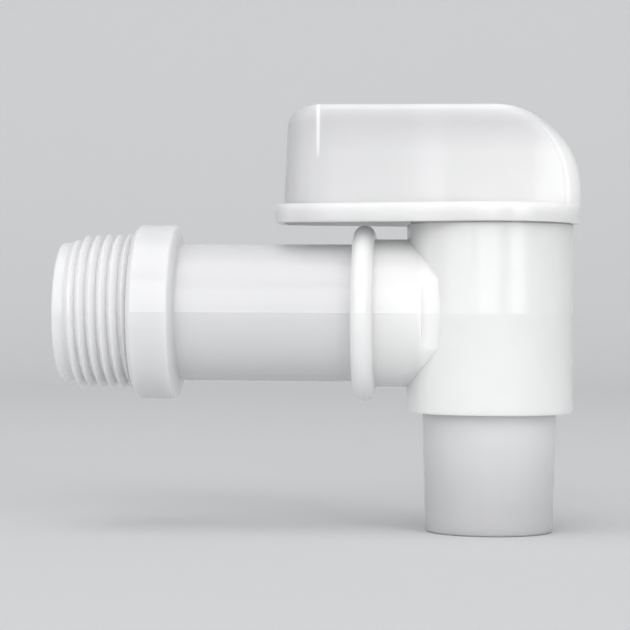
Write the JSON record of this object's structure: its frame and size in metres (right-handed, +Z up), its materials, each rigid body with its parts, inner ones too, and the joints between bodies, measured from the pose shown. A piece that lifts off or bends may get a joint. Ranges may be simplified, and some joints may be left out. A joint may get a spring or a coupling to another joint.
{
  "type": "drum spigot",
  "caption": "White plastic drum tap with a tapered threaded inlet, a straight barrel, an upright plug valve with a winged handle over the barrel and a spout pointing down.",
  "frame": {"origin": "on the barrel's axis, in the plane of the collar's shoulder, which comes up against the drum", "axes": "+X from the inlet thread towards the valve, +Z up along the valve's axis towards the handle, +Y away from the picture's camera"},
  "size_m": [0.0881, 0.0306, 0.0718],
  "materials": {
    "body_polyethylene": "satin",
    "handle_polyethylene": "satin"
  },
  "bodies": {
    "body": {"inlet_barrel": "body_polyethylene", "valve_body": "body_polyethylene"},
    "handle": {"handle_wing": "handle_polyethylene", "handle_skirt": "handle_polyethylene", "plug_spout": "handle_polyethylene"}
  },
  "joints": [
    {"name": "handle_turn", "type": "hinge", "parent": "body", "child": "handle", "pos_m": [0.06, 0, 0], "axis": [0, 0, 1], "continuous": true}
  ]
}
